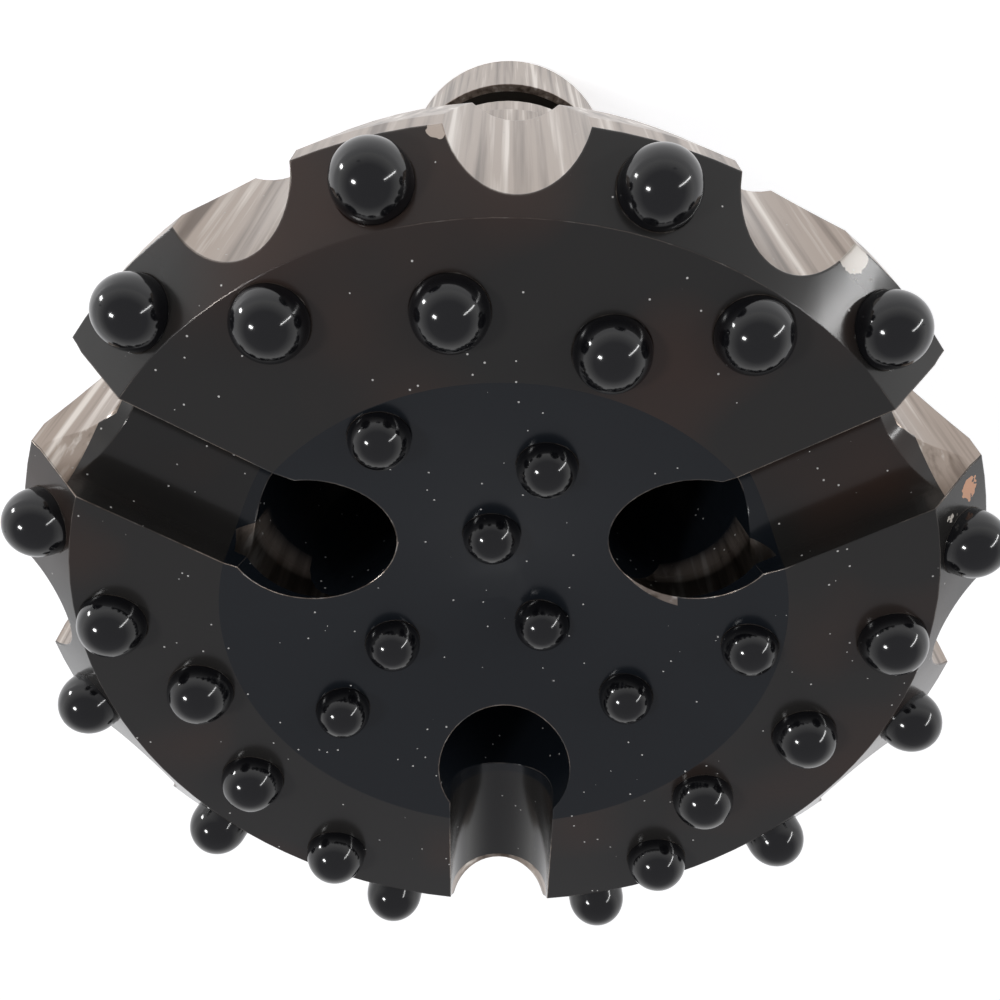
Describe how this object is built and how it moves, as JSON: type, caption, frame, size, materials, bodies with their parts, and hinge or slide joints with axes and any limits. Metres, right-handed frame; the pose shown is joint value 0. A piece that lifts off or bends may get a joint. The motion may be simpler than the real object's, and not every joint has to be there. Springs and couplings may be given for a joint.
{
  "type": "button drill bit",
  "caption": "Steel down-the-hole drill bit with a hollow-cone face, pressed-in carbide buttons, face slots with flushing holes, side flutes and a splined shank.",
  "frame": {"origin": "centre of the shank end, where the bit rests when it stands face up", "axes": "+Z along the bit's axis from the shank end to the face, +Y along one of the three face slots"},
  "size_m": [0.2728, 0.2725, 0.4855],
  "materials": {
    "body_steel": "gloss",
    "gauge_carbide": "polished",
    "face_carbide": "polished"
  },
  "bodies": {
    "root": {"bit_body": "body_steel", "gauge_button_01": "gauge_carbide", "gauge_button_02": "gauge_carbide", "gauge_button_03": "gauge_carbide", "gauge_button_04": "gauge_carbide", "gauge_button_05": "gauge_carbide", "gauge_button_06": "gauge_carbide", "gauge_button_07": "gauge_carbide", "gauge_button_08": "gauge_carbide", "gauge_button_09": "gauge_carbide", "gauge_button_10": "gauge_carbide", "gauge_button_11": "gauge_carbide", "gauge_button_12": "gauge_carbide", "front_button_01": "face_carbide", "front_button_02": "face_carbide", "front_button_03": "face_carbide", "front_button_04": "face_carbide", "front_button_05": "face_carbide", "front_button_06": "face_carbide", "front_button_07": "face_carbide", "front_button_08": "face_carbide", "front_button_09": "face_carbide", "front_button_10": "face_carbide", "front_button_11": "face_carbide", "front_button_12": "face_carbide", "centre_button_01": "face_carbide", "centre_button_02": "face_carbide", "centre_button_03": "face_carbide", "centre_button_04": "face_carbide", "centre_button_05": "face_carbide", "centre_button_06": "face_carbide", "centre_button_07": "face_carbide", "centre_button_08": "face_carbide"}
  },
  "joints": []
}
